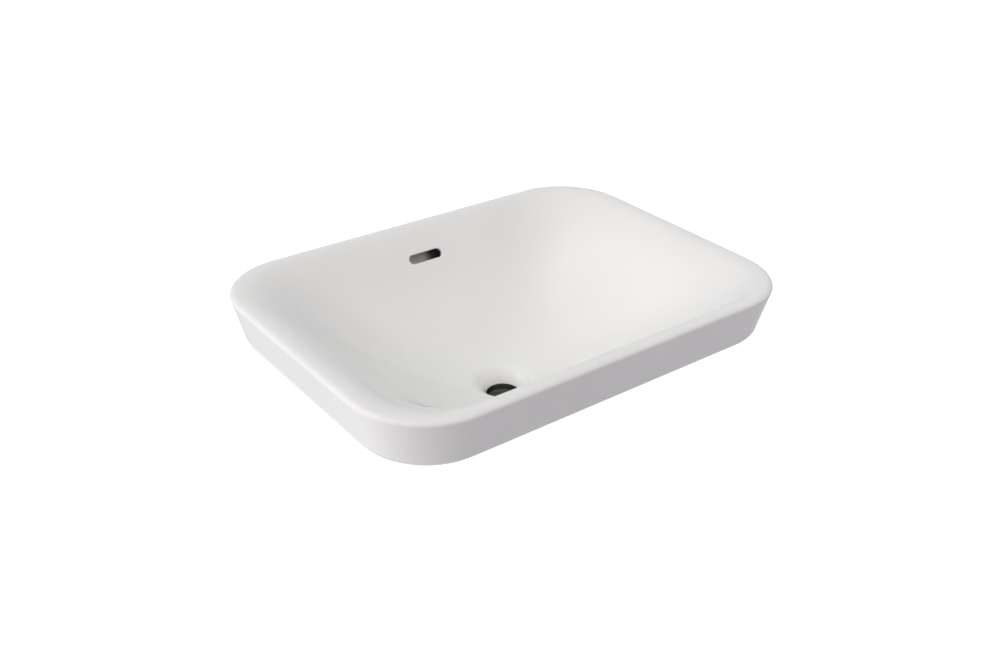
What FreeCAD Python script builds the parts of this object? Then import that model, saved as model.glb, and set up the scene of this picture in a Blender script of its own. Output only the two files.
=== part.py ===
import FreeCAD, Part
import math
import os

# Counter washbasin with its push-open waste, in millimetres.
# The origin is the middle of the basin on the counter's top; +Z is up and +Y points to the back.

# China body: outline, rim and apron
length = 560.0
depth = 415.0
rim_height = 61.5
corner_radius = 87.0
foot_corner_radius = 70.0
lip_width = 7.4
lip_drop = 4.8
crest_land = 0.6
crest_rise = 0.8
flare_height = 25.5
flare_inset = 5.5
apron_taper = 5.2
end_draw = 1.3
foot_round = 10.0
skirt_foot_inset = 31.3
skirt_foot_corner = 69.2
skirt_top_corner = 77.0
skirt_wall = 12.0
rim_thickness = 12.0

# Bowl: its laws run from the crest of the rim (share 0) to the land round the drain (share 1)
bowl_depth = 134.0
crest_corner_radius = 82.0
land_radius = 45.0
end_power = 0.92
side_power = 1.10
corner_power = 1.19
floor_power = 1.92
floor_share = 0.79
crest_ease = 0.206
front_shelf = 4.2
shelf_share = 0.07
wall_side = 9.0
wall_down = 6.5
corner_margin = 1.5
hollow_shares = (0.04, 0.08, 0.13, 0.2, 0.3, 0.42, 0.56, 0.7, 0.84, 0.93, 1)
underside_shares = (0.06, 0.1, 0.15, 0.22, 0.32, 0.44, 0.57, 0.7, 0.84, 1)
flare_shares = (0.12, 0.35, 0.7, 1)
round_angles = (0, 30, 60, 90)

# Overflow
slot_drop = 33.0
slot_length = 48.5
slot_height = 12.0
channel_gap = 7.0
channel_side_room = 2.0
channel_wall = 7.5
channel_skin = 5.0
port_width = 34.0
channel_shares = (0.32, 0.5, 0.7)

# Drain funnel and waste seat; the funnel, cover, flange and gasket are dishes about one circle
hole_radius = 22.5
seat_curve = 31.8
gasket_thickness = 1.55
gasket_setback = 3.0
body_wall = 2.45
cover_thickness = 1.5
seat_clearance = 0.1
flange_radius = 32.0
flange_clearance = 0.3
funnel_radius = 43.0
cover_edge_radius = 20.7
boss_radius = 36.0
boss_flare = 12.0
port_height = 9.0
port_drop = 3.5
boss_floor = 5.5

# Waste stack under the basin
lower_gasket_height = 5.0
lower_gasket_radius = 31.0
gasket_nose = 3.0
washer_thickness = 1.5
nut_height = 7.0
nut_across_flats = 52.0
nut_chamfer = 2.5
thread_clearance = 0.05
free_thread = 11.0
relief_width = 1.2
relief_depth = 0.8
end_chamfer = 1.2

# Waste body: overflow ports, plug ledge and the bridge that carries the latch
port_count = 4
body_port_width = 14.0
ledge_radius = 15.0
ledge_height = 3.0
ledge_rise = 1.0
bridge_height = 3.5
bridge_inset = 2.5
hub_radius = 8.0
spoke_count = 3
spoke_width = 4.0

# Plug and latch
plug_travel = 9.0
seal_radius = 17.0
seal_bore = 12.5
seal_height = 2.5
cap_radius = 16.8
cap_edge = 2.0
cap_dome = 1.2
post_radius = 3.0
running_gap = 0.3
lock_nut_flats = 10.0
lock_nut_height = 2.5
sleeve_radius = 8.0
sleeve_wall = 1.6
sleeve_floor = 3.0
guide_height = 4.0
plunger_height = 2.7
rotor_height = 1.6
rotor_tooth = 1.1
rotor_teeth = 6
stop_gap = 1.0
spring_turns = 4
spring_wire = 0.7
spring_radius = 5.0
spring_length = 5.2
screw_radius = 2.0
screw_head_radius = 3.5
screw_head_height = 2.0
screw_slot = 1.0

half_length = length / 2
half_depth = depth / 2
crest_inset = lip_width + crest_land
foot_inset = flare_inset + apron_taper + foot_round
channel_half = slot_length / 2 + channel_side_room
hole_axis = FreeCAD.Vector(0, 0, 1)

# Dishes of the waste: all are arcs about a circle of radius dish_centre_r at height dish_centre_z
dish_centre_r = hole_radius + seat_curve
flange_under_curve = seat_curve + gasket_thickness
flange_top_curve = flange_under_curve + body_wall
cover_curve = flange_top_curve + cover_thickness
thread_radius = dish_centre_r - flange_under_curve
throat_radius = dish_centre_r - flange_top_curve
land_z = rim_height - bowl_depth
dish_centre_z = land_z - math.sqrt(cover_curve ** 2 - (dish_centre_r - funnel_radius) ** 2)

port_top = dish_centre_z - port_drop
port_bottom = port_top - port_height
boss_bottom = port_bottom - boss_floor
washer_top = boss_bottom - lower_gasket_height
nut_top = washer_top - washer_thickness
nut_bottom = nut_top - nut_height
body_bottom = nut_bottom - free_thread

ledge_top = dish_centre_z + ledge_rise
cap_bottom = ledge_top + seal_height
bridge_bottom = body_bottom + bridge_inset
bridge_top = bridge_bottom + bridge_height
sleeve_inside = bridge_top + sleeve_floor
rotor_bottom = sleeve_inside + spring_length
plunger_bottom = rotor_bottom + rotor_height + rotor_tooth + running_gap
plunger_top = plunger_bottom + plunger_height
guide_bottom = plunger_top + plug_travel + stop_gap
sleeve_bore = sleeve_radius - sleeve_wall


def point(x, y, z):
    return FreeCAD.Vector(x, y, z)


def rounded_wire(half_x, half_y, radius, z):
    """Rounded rectangle at height z: four sides joined by quarter arcs."""
    edges = []
    corners = ((1, 1, 0), (-1, 1, 90), (-1, -1, 180), (1, -1, 270))
    ends = []
    for sign_x, sign_y, start in corners:
        centre = point(sign_x * (half_x - radius), sign_y * (half_y - radius), z)
        turn = [math.radians(start + step) for step in (0, 45, 90)]
        ends.append([centre + point(radius * math.cos(a), radius * math.sin(a), 0) for a in turn])
    for index, arc in enumerate(ends):
        following = ends[(index + 1) % len(ends)]
        edges.append(Part.Arc(*arc).toShape())
        edges.append(Part.LineSegment(arc[2], following[0]).toShape())
    return Part.Wire(edges)


def turned(points):
    """Solid of revolution about Z from a closed outline of (radius, height) points."""
    outline = [point(r, 0, z) for r, z in points]
    wire = Part.makePolygon(outline + outline[:1])
    return Part.Face(wire).revolve(point(0, 0, 0), hole_axis, 360)


def ring(outer, inner, bottom, top):
    return turned([(inner, bottom), (outer, bottom), (outer, top), (inner, top)])


def rod(radius, bottom, top):
    return Part.makeCylinder(radius, top - bottom, point(0, 0, bottom))


def hexagon(across_flats, bottom, top):
    corner = across_flats / math.sqrt(3)
    outline = [point(corner * math.cos(k * math.pi / 3), corner * math.sin(k * math.pi / 3), bottom)
               for k in range(7)]
    return Part.Face(Part.makePolygon(outline)).extrude(point(0, 0, top - bottom))


def block(x_low, x_high, y_low, y_high, z_low, z_high):
    return Part.makeBox(x_high - x_low, y_high - y_low, z_high - z_low, point(x_low, y_low, z_low))


# Dishes
def dish_point(curve, angle):
    """Point at an angle above the throat on a dish of the given curve."""
    return (dish_centre_r - curve * math.cos(angle), dish_centre_z + curve * math.sin(angle))


def dish_angle(curve, radius):
    """Angle at which a dish of the given curve reaches a radius from the axis."""
    return math.acos((dish_centre_r - radius) / curve)


def dish_arc(curve, start, end):
    places = [dish_point(curve, start + share * (end - start)) for share in (0, 0.5, 1)]
    return Part.Arc(*[point(r, 0, z) for r, z in places]).toShape()


def spread(shapes):
    """Shapes that lie along +X, turned to stand evenly round the drain, the first towards the back."""
    for index, shape in enumerate(shapes):
        shape.rotate(point(0, 0, 0), hole_axis, 90 + index * 360 / len(shapes))
    return shapes


def dish_line(first, second):
    return Part.LineSegment(point(first[0], 0, first[1]), point(second[0], 0, second[1])).toShape()


def dish(inner_curve, outer_curve, start, end):
    """Dished ring between two curves, cut square to them at both angles."""
    edges = [
        dish_arc(outer_curve, start, end),
        dish_line(dish_point(outer_curve, end), dish_point(inner_curve, end)),
        dish_arc(inner_curve, end, start),
        dish_line(dish_point(inner_curve, start), dish_point(outer_curve, start)),
    ]
    return Part.Face(Part.Wire(edges)).revolve(point(0, 0, 0), hole_axis, 360)


# China body
def bowl_station(share):
    """Half length, half depth, corner radius and drop of the bowl's wall at a share of the way in."""
    fall = (1 - (1 - floor_share * share) ** floor_power) / (1 - (1 - floor_share) ** floor_power)
    ease = (1 - math.exp(-share / crest_ease)) / (1 - math.exp(-1 / crest_ease))
    start_x = half_length - crest_inset
    start_y = half_depth - crest_inset
    reach_x = start_x - (start_x - land_radius) * share ** end_power
    reach_y = start_y - (start_y - land_radius) * share ** side_power
    corner = crest_corner_radius - (crest_corner_radius - land_radius) * share ** corner_power
    corner = min(corner, reach_x - corner_margin, reach_y - corner_margin)
    return reach_x, reach_y, corner, bowl_depth * fall * ease


def share_at_drop(drop):
    low, high = 0.0, 1.0
    for _ in range(50):
        middle = (low + high) / 2
        if bowl_station(middle)[3] < drop:
            low = middle
        else:
            high = middle
    return low


channel_top = share_at_drop(slot_drop - slot_height)


def back_wall(share, offset):
    """Point and outward normal (y, z) of the back wall on the middle line, moved out by an offset."""
    step = 1e-4
    _, y_before, _, drop_before = bowl_station(share - step)
    _, y_after, _, drop_after = bowl_station(min(share + step, 1.0))
    along_y = y_after - y_before
    along_z = drop_before - drop_after
    size = math.hypot(along_y, along_z)
    normal = (-along_z / size, along_y / size)
    _, y, _, drop = bowl_station(share)
    return (y + offset * normal[0], rim_height - drop + offset * normal[1]), normal


def bowl_wire(share, sideways, down):
    """Section of the bowl; its front side stands in by a shelf that fades down the wall."""
    reach_x, reach_y, corner, drop = bowl_station(share)
    shelf = front_shelf * (share / shelf_share) * math.exp(1 - share / shelf_share)
    half_y = reach_y - shelf / 2 + sideways
    wire = rounded_wire(reach_x + sideways, half_y, corner + sideways, rim_height - drop - down)
    wire.translate(point(0, shelf / 2, 0))
    return wire


def bowl_hollow():
    """Inside of the bowl; its first section stands above the rim, so that it breaks out of the crest."""
    wires = [bowl_wire(0, 0, -crest_rise)] + [bowl_wire(share, 0, 0) for share in hollow_shares]
    return Part.makeLoft(wires, True)


def bowl_underside():
    return Part.makeLoft([bowl_wire(share, wall_side, wall_down) for share in underside_shares], True)


def apron_wire(inset, drop):
    """Section of the outside; below the flare its ends are drawn in a little more than its sides."""
    corner = corner_radius - inset * (corner_radius - foot_corner_radius) / foot_inset
    flare_end = lip_drop + flare_height
    draw = end_draw * max(0, drop - flare_end) / (rim_height - flare_end)
    return rounded_wire(half_length - inset - draw, half_depth - inset, corner, rim_height - drop)


def apron():
    """Outside of the china: quarter round lip, drawn-in flare, tapered apron and rounded foot."""
    wires = []
    for angle in round_angles:
        turn = math.radians(angle)
        wires.append(apron_wire(lip_width * (1 - math.sin(turn)), lip_drop * (1 - math.cos(turn))))
    for share in flare_shares:
        inset = flare_inset * (1 - math.cos(math.pi * share)) / 2
        wires.append(apron_wire(inset, lip_drop + flare_height * share))
    for angle in round_angles:
        turn = math.radians(angle)
        inset = flare_inset + apron_taper + foot_round * (1 - math.cos(turn))
        wires.append(apron_wire(inset, rim_height - foot_round * (1 - math.sin(turn))))
    return Part.makeLoft(wires, True)


def skirt_hollow():
    """Open space under the rim, between the apron and the bowl."""
    foot_x = half_length - skirt_foot_inset
    foot_y = half_depth - skirt_foot_inset
    foot = rounded_wire(foot_x, foot_y, skirt_foot_corner, -crest_rise)
    top_inset = flare_inset + skirt_wall
    top_z = rim_height - rim_thickness
    top = rounded_wire(half_length - top_inset, half_depth - top_inset, skirt_top_corner, top_z)
    return Part.makeLoft([foot, top], True, True)


def curve_edge(places):
    """Smooth edge in the plane x = 0 through (y, z) points."""
    curve = Part.BSplineCurve()
    curve.interpolate([point(0, y, z) for y, z in places])
    return curve.toShape()


def flat_edge(first, second):
    return Part.LineSegment(point(0, *first), point(0, *second)).toShape()


def channel_side(offset, end_z):
    """Side of the overflow channel: follows the back wall, then turns into the drain hole."""
    places = [back_wall(share, offset)[0] for share in (channel_top,) + channel_shares]
    places.append((hole_radius + boss_flare, end_z + channel_gap / 2))
    places.append((hole_radius - seat_clearance, end_z))
    return places


def narrowed(edges, back_half, drain_half, end_y):
    """Side outline carried across the basin, narrowed in plan from the slot to the drain hole."""
    side = Part.Face(Part.Wire(Part.__sortEdges__(edges)))
    wide = side.extrude(point(2 * back_half, 0, 0))
    wide.translate(point(-back_half, 0, 0))
    low = boss_bottom - channel_skin
    plan = [(-drain_half, end_y), (drain_half, end_y), (back_half, half_depth), (-back_half, half_depth)]
    outline = Part.makePolygon([point(x, y, low) for x, y in plan + plan[:1]])
    return wide.common(Part.Face(outline).extrude(point(0, 0, rim_height - low)))


def overflow_duct():
    """Outside of the channel, solid up into the rim and the bowl, which is hollowed out of it later."""
    outer = channel_side(channel_wall + channel_gap + channel_skin, boss_bottom)
    roof = rim_height - rim_thickness / 2
    wall_y = back_wall(channel_top, 0)[0][0]
    top = outer[0]
    corners = [outer[-1], (0, boss_bottom), (0, land_z + wall_down), (wall_y, roof), (top[0], roof), top]
    edges = [curve_edge(outer)] + [flat_edge(*pair) for pair in zip(corners, corners[1:])]
    return narrowed(edges, channel_half + channel_skin, port_width / 2 + channel_skin, 0)


def overflow_channel():
    inner = channel_side(channel_wall, port_top)
    outer = channel_side(channel_wall + channel_gap, port_bottom)
    mouth = hole_radius / 2
    corners = [inner[-1], (mouth, port_top), (mouth, port_bottom), outer[-1]]
    edges = [curve_edge(inner), curve_edge(outer), flat_edge(inner[0], outer[0])]
    edges += [flat_edge(*pair) for pair in zip(corners, corners[1:])]
    return narrowed(edges, channel_half, port_width / 2, mouth)


def overflow_slot():
    """Obround hole square to the back wall."""
    (y, z), normal = back_wall(share_at_drop(slot_drop), 0)
    straight = slot_length / 2 - slot_height / 2
    radius = slot_height / 2
    up_y, up_z = -normal[1], normal[0]

    def place(x, rise):
        return point(x, y + rise * up_y, z + rise * up_z)

    edges = [
        Part.LineSegment(place(-straight, -radius), place(straight, -radius)).toShape(),
        Part.Arc(place(straight, -radius), place(straight + radius, 0), place(straight, radius)).toShape(),
        Part.LineSegment(place(straight, radius), place(-straight, radius)).toShape(),
        Part.Arc(place(-straight, radius), place(-straight - radius, 0), place(-straight, -radius)).toShape(),
    ]
    outward = point(0, normal[0], normal[1])
    face = Part.Face(Part.Wire(edges))
    face.translate(outward * -channel_wall)
    return face.extrude(outward * (2 * channel_wall + channel_gap / 2))


def drain_hollow():
    """Funnel, flange recess, seat and hole, as one turned space."""
    recess = flange_radius + flange_clearance
    funnel_start = dish_angle(cover_curve, funnel_radius)
    funnel_end = dish_angle(cover_curve, recess)
    seat_start = dish_angle(seat_curve, recess)
    above = land_z + wall_down
    below = boss_bottom - wall_down
    edges = [
        dish_line((0, above), (funnel_radius, above)),
        dish_line((funnel_radius, above), dish_point(cover_curve, funnel_start)),
        dish_arc(cover_curve, funnel_start, funnel_end),
        dish_line(dish_point(cover_curve, funnel_end), dish_point(seat_curve, seat_start)),
        dish_arc(seat_curve, seat_start, 0),
        dish_line(dish_point(seat_curve, 0), (hole_radius, below)),
        dish_line((hole_radius, below), (0, below)),
        dish_line((0, below), (0, above)),
    ]
    return Part.Face(Part.Wire(edges)).revolve(point(0, 0, 0), hole_axis, 360)


def basin():
    floor_z = land_z - wall_down
    boss = turned([(0, floor_z + wall_down / 2), (boss_radius + boss_flare, floor_z + wall_down / 2),
                   (boss_radius + boss_flare, floor_z), (boss_radius, boss_bottom), (0, boss_bottom)])
    body = apron().cut(skirt_hollow()).fuse([bowl_underside(), boss, overflow_duct()])
    body = body.cut([bowl_hollow(), drain_hollow()])
    return body.cut([overflow_channel(), overflow_slot()]).removeSplitter()


# Waste
def flange_cover():
    edge = dish_angle(cover_curve, cover_edge_radius)
    shell = dish(flange_top_curve + seat_clearance, cover_curve, edge, math.pi / 2)
    return shell.common(rod(flange_radius, body_bottom, rim_height))


def flange_gasket():
    start = dish_angle(seat_curve, hole_radius + gasket_setback)
    shell = dish(seat_curve + seat_clearance, flange_under_curve - seat_clearance, start, math.pi / 2)
    return shell.common(rod(flange_radius, body_bottom, rim_height))


def waste_body():
    """Dished flange and threaded tube in one, with thread relief, overflow ports, plug ledge and bridge."""
    flange = dish(flange_under_curve, flange_top_curve, 0, math.pi / 2)
    flange = flange.common(rod(flange_radius, body_bottom, rim_height))
    relief_bottom = nut_bottom - relief_width
    relief_radius = thread_radius - relief_depth
    tube = turned([(throat_radius, body_bottom), (thread_radius - end_chamfer, body_bottom),
                   (thread_radius, body_bottom + end_chamfer), (thread_radius, relief_bottom),
                   (relief_radius, relief_bottom), (relief_radius, nut_bottom), (thread_radius, nut_bottom),
                   (thread_radius, dish_centre_z), (throat_radius, dish_centre_z)])
    ledge = ring(throat_radius + body_wall / 2, ledge_radius, ledge_top - ledge_height, ledge_top)
    hub = rod(hub_radius, bridge_bottom, bridge_top)
    in_wall = throat_radius + body_wall / 2
    half = spoke_width / 2
    spokes = [block(0, in_wall, -half, half, bridge_bottom, bridge_top) for _ in range(spoke_count)]
    body = flange.fuse([tube, ledge, hub] + spread(spokes))
    outside = thread_radius + body_wall
    half = body_port_width / 2
    ports = [block(ledge_radius, outside, -half, half, port_bottom, port_top) for _ in range(port_count)]
    ports = spread(ports)
    screw_hole = rod(screw_radius + thread_clearance, bridge_bottom, bridge_top)
    return body.cut(ports + [screw_hole]).removeSplitter()


def lower_gasket():
    """Thick washer with a nose that centres it in the drain hole."""
    bore = thread_radius + thread_clearance
    nose = hole_radius - seat_clearance
    nose_top = boss_bottom + gasket_nose
    return turned([(bore, washer_top), (lower_gasket_radius, washer_top), (lower_gasket_radius, boss_bottom),
                   (nose, boss_bottom), (nose, nose_top), (bore, nose_top)])


def friction_washer():
    return ring(lower_gasket_radius, thread_radius + thread_clearance, nut_top, washer_top)


def back_nut():
    corner = nut_across_flats / math.sqrt(3)
    rounded = turned([(0, nut_bottom), (corner - nut_chamfer, nut_bottom), (corner, nut_bottom + nut_chamfer),
                      (corner, nut_top), (0, nut_top)])
    blank = hexagon(nut_across_flats, nut_bottom, nut_top).common(rounded)
    return blank.cut(rod(thread_radius + thread_clearance, nut_bottom, nut_top))


# Plug and latch
def plug_cap():
    edge_top = cap_bottom + cap_edge
    crown = edge_top + cap_dome
    sphere_radius = (cap_radius ** 2 + cap_dome ** 2) / (2 * cap_dome)
    dome = Part.makeSphere(sphere_radius, point(0, 0, crown - sphere_radius))
    disc = rod(cap_radius, cap_bottom, crown).common(dome)
    return disc.cut(rod(post_radius, cap_bottom, cap_bottom + cap_edge / 2))


def plug_seal():
    return ring(seal_radius, seal_bore, ledge_top, cap_bottom)


def plug_post():
    return rod(post_radius, plunger_bottom, cap_bottom + cap_edge / 2)


def lock_nut():
    blank = hexagon(lock_nut_flats, cap_bottom - lock_nut_height, cap_bottom)
    return blank.cut(rod(post_radius, cap_bottom - lock_nut_height, cap_bottom))


def plunger():
    return ring(sleeve_bore - running_gap, post_radius, plunger_bottom, plunger_top)


def latch_rotor():
    """Ring with slanted teeth on its top."""
    outer = sleeve_bore - running_gap
    inner = post_radius
    top = rotor_bottom + rotor_height
    body = ring(outer, inner, rotor_bottom, top)
    pitch = 360 / rotor_teeth
    flank = outer * math.tan(math.radians(pitch / 2))
    profile = [point(0, -flank, top), point(0, flank, top), point(0, flank, top + rotor_tooth)]
    tooth = Part.Face(Part.makePolygon(profile + profile[:1])).extrude(point(outer, 0, 0))
    sector = Part.makeCylinder(outer, rotor_tooth, point(0, 0, top), hole_axis, pitch)
    sector.rotate(point(0, 0, 0), hole_axis, -pitch / 2)
    wedge = tooth.common(ring(outer, inner, top, top + rotor_tooth)).common(sector)
    return body.fuse(spread([wedge.copy() for _ in range(rotor_teeth)])).removeSplitter()


def cartridge_sleeve():
    cup = turned([(0, bridge_top), (sleeve_radius, bridge_top), (sleeve_radius, guide_bottom),
                  (sleeve_bore, guide_bottom), (sleeve_bore, sleeve_inside), (0, sleeve_inside)])
    return cup.cut(rod(screw_radius, bridge_top, sleeve_inside))


def guide_cap():
    return ring(sleeve_radius, post_radius + running_gap, guide_bottom, guide_bottom + guide_height)


def cartridge_screw():
    head_bottom = bridge_bottom - screw_head_height
    head = rod(screw_head_radius, head_bottom, bridge_bottom)
    slot = block(-screw_head_radius, screw_head_radius, -screw_slot / 2, screw_slot / 2,
                 head_bottom, head_bottom + screw_slot)
    return head.cut(slot).fuse(rod(screw_radius, bridge_bottom, sleeve_inside)).removeSplitter()


def helix_point(turn, bottom, pitch):
    angle = 2 * math.pi * turn
    place = point(spring_radius * math.cos(angle), spring_radius * math.sin(angle), bottom + pitch * turn)
    tangent = point(-spring_radius * math.sin(angle), spring_radius * math.cos(angle), pitch / (2 * math.pi))
    return place, tangent.normalize()


def arc_from_triangle(start, corner, end):
    """Arc that leaves start and reaches end along the equal legs of a triangle."""
    weight = (end - start).Length / (2 * (corner - start).Length)
    middle = (start + corner * (2 * weight) + end) * (1 / (2 + 2 * weight))
    return Part.Arc(start, middle, end).toShape()


def return_spring():
    """Coil of two tangent arcs to each quarter turn, swept by the wire's circle."""
    bottom = sleeve_inside + spring_wire / 2
    pitch = (spring_length - spring_wire) / spring_turns
    steps = 4 * spring_turns
    edges = []
    for k in range(steps):
        start, leave = helix_point(k / 4, bottom, pitch)
        end, arrive = helix_point((k + 1) / 4, bottom, pitch)
        chord = end - start
        both = leave + arrive
        bend = 2 * (1 - leave.dot(arrive))
        reach = (math.sqrt(chord.dot(both) ** 2 + bend * chord.dot(chord)) - chord.dot(both)) / bend
        first = start + leave * reach
        second = end - arrive * reach
        joint = (first + second) * 0.5
        edges.append(arc_from_triangle(start, first, joint))
        edges.append(arc_from_triangle(joint, second, end))
    print("return_spring: least gap between turns %.2f mm" % (pitch - spring_wire))
    start, leave = helix_point(0, bottom, pitch)
    section = Part.Wire(Part.Circle(start, leave, spring_wire / 2).toShape())
    return Part.Wire(edges).makePipeShell([section], True, False)


nodes = (
    basin, flange_cover, flange_gasket, waste_body, lower_gasket, friction_washer, back_nut, plug_cap,
    plug_seal, plug_post, lock_nut, plunger, latch_rotor, return_spring, cartridge_sleeve, guide_cap,
    cartridge_screw,
)

os.makedirs("parts", exist_ok=True)
for make in nodes:
    shape = make()
    facts = (make.__name__, shape.isValid(), len(shape.Solids), shape.Volume / 1000)
    print("%-18s valid %s, solids %d, %.1f cm3" % facts)
    shape.exportStep("parts/%s.step" % make.__name__)
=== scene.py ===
import bmesh
import bpy
import math
import numpy as np
from mathutils import Matrix, Vector


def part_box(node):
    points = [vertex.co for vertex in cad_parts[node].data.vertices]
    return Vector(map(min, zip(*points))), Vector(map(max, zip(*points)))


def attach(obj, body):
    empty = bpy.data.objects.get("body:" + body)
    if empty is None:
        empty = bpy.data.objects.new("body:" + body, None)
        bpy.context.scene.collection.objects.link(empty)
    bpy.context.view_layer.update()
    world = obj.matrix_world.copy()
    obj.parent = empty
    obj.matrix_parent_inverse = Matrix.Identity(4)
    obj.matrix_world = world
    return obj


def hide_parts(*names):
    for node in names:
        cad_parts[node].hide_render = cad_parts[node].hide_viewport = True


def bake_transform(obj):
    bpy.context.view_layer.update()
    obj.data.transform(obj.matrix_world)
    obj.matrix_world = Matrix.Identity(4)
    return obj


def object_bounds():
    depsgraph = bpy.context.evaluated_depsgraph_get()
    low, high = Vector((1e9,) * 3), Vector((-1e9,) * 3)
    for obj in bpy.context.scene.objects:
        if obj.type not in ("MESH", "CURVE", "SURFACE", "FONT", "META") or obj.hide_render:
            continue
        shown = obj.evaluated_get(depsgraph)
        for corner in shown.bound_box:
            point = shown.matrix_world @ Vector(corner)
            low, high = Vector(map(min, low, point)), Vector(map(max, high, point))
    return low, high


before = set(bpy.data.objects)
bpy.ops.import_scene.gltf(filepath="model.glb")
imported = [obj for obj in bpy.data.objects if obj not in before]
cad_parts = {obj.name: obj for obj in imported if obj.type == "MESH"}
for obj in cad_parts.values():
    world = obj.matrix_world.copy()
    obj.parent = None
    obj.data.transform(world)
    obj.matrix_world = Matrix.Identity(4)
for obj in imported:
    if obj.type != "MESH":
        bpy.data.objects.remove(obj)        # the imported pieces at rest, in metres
cadLow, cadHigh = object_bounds()
mm = 0.001               # shapes below are worked out in millimetres
fullTurn, quarterTurn = 2 * math.pi, math.pi / 2
weldGap = 1e-7           # points closer than this, in metres, are one
noiseLow, noiseHigh = 0.3, 0.7      # most of a noise's values lie between these
print("frame: %d nodes" % len(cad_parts))


# Mesh helpers shared by the pieces

def nodeBox(node):
    low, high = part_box(node)
    return np.array(low) / mm, np.array(high) / mm


def makePiece(name, body, node, shells, material, sharpAngle=None):
    # shells are (points, faces) pairs in millimetres, put together in one mesh
    points, faces, start = [], [], 0
    for shellPoints, shellFaces in shells:
        points.append(shellPoints)
        faces += [[start + corner for corner in face] for face in shellFaces]
        start += len(shellPoints)
    mesh = bpy.data.meshes.new(name)
    mesh.from_pydata((np.vstack(points) * mm).tolist(), [], faces)
    shape = bmesh.new()
    shape.from_mesh(mesh)
    bmesh.ops.remove_doubles(shape, verts=shape.verts, dist=weldGap)
    bmesh.ops.recalc_face_normals(shape, faces=shape.faces)
    shape.to_mesh(mesh)
    shape.free()
    mesh.shade_smooth()
    if sharpAngle:
        mesh.set_sharp_from_angle(angle=math.radians(sharpAngle))
    mesh.materials.append(material)
    piece = bpy.data.objects.new(name, mesh)
    bpy.context.scene.collection.objects.link(piece)
    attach(piece, body)
    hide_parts(node)
    return piece


def gridFaces(rows, columns, closeRows=False):
    # quads of a grid that closes round its columns; vertex number = row * columns + column
    lastRow = rows if closeRows else rows - 1
    i, j = np.meshgrid(np.arange(lastRow), np.arange(columns), indexing="ij")
    iNext, jNext = (i + 1) % rows, (j + 1) % columns
    corners = [i * columns + j, i * columns + jNext, iNext * columns + jNext, iNext * columns + j]
    return np.stack(corners, axis=-1)


def softCorners(outline, radius, steps=4, mostOfSide=0.45):
    # each corner becomes (1-k)^2 start + 2k(1-k) corner + k^2 end, with start and end one radius off
    outline = np.array(outline, float)

    def towards(other):
        gap = other - outline
        size = np.linalg.norm(gap, axis=1, keepdims=True)
        return outline + gap * np.minimum(radius / size, mostOfSide)

    start, end = towards(np.roll(outline, 1, axis=0)), towards(np.roll(outline, -1, axis=0))
    k = np.linspace(0, 1, steps + 1)[None, :, None]
    curve = (1 - k) ** 2 * start[:, None] + 2 * k * (1 - k) * outline[:, None] + k * k * end[:, None]
    return curve.reshape(-1, 2)


def turnedShell(outline, columns=96):
    # the closed outline of (radius, height) carried round Z: x = r sin a, y = r cos a
    angle = np.arange(columns) * fullTurn / columns
    r, z = outline[:, 0:1], outline[:, 1:2]
    points = np.stack([r * np.sin(angle), r * np.cos(angle), z + 0 * angle], axis=-1)
    return points.reshape(-1, 3), gridFaces(len(outline), columns, True).reshape(-1, 4).tolist()


# Shader helpers: two effects as groups, and one short function for each finish

def newGroup(name, inputs, outputs):
    group = bpy.data.node_groups.new(name, "ShaderNodeTree")
    for label, kind, value in inputs:
        socket = group.interface.new_socket(label, in_out="INPUT", socket_type=kind)
        if value is not None:
            socket.default_value = value
    for label, kind in outputs:
        group.interface.new_socket(label, in_out="OUTPUT", socket_type=kind)
    return group, group.nodes.new("NodeGroupInput"), group.nodes.new("NodeGroupOutput")


def cloudGroup():
    # slow clouds for tint and gloss, and a fine grain for bump
    inputs = [("Vector", "NodeSocketVector", None), ("Cloud Scale", "NodeSocketFloat", 12.0),
              ("Grain Scale", "NodeSocketFloat", 400.0)]
    outputs = [("Cloud", "NodeSocketFloat"), ("Grain", "NodeSocketFloat")]
    group, source, result = newGroup("cloudAndGrain", inputs, outputs)
    for scale, output, detail in (("Cloud Scale", "Cloud", 3.0), ("Grain Scale", "Grain", 2.0)):
        noise = group.nodes.new("ShaderNodeTexNoise")
        noise.inputs["Detail"].default_value = detail
        group.links.new(source.outputs["Vector"], noise.inputs["Vector"])
        group.links.new(source.outputs[scale], noise.inputs["Scale"])
        group.links.new(noise.outputs["Fac"], result.inputs[output])
    return group


def latheGroup():
    # rings left by a lathe: noise on (distance from Z, height), so it runs round the axis
    inputs = [("Vector", "NodeSocketVector", None), ("Ring Scale", "NodeSocketFloat", 900.0)]
    group, source, result = newGroup("latheRings", inputs, [("Ring", "NodeSocketFloat")])
    split = group.nodes.new("ShaderNodeSeparateXYZ")
    join = group.nodes.new("ShaderNodeCombineXYZ")
    flat = group.nodes.new("ShaderNodeVectorMath")
    flat.operation = "MULTIPLY"
    flat.inputs[1].default_value = (1, 1, 0)
    reach = group.nodes.new("ShaderNodeVectorMath")
    reach.operation = "LENGTH"
    noise = group.nodes.new("ShaderNodeTexNoise")
    noise.inputs["Detail"].default_value = 4.0
    group.links.new(source.outputs["Vector"], split.inputs[0])
    group.links.new(source.outputs["Vector"], flat.inputs[0])
    group.links.new(flat.outputs[0], reach.inputs[0])
    group.links.new(reach.outputs["Value"], join.inputs["X"])
    group.links.new(split.outputs["Z"], join.inputs["Z"])
    group.links.new(join.outputs[0], noise.inputs["Vector"])
    group.links.new(source.outputs["Ring Scale"], noise.inputs["Scale"])
    group.links.new(noise.outputs["Fac"], result.inputs["Ring"])
    return group


cloudAndGrain = cloudGroup()
latheRings = latheGroup()


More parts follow.
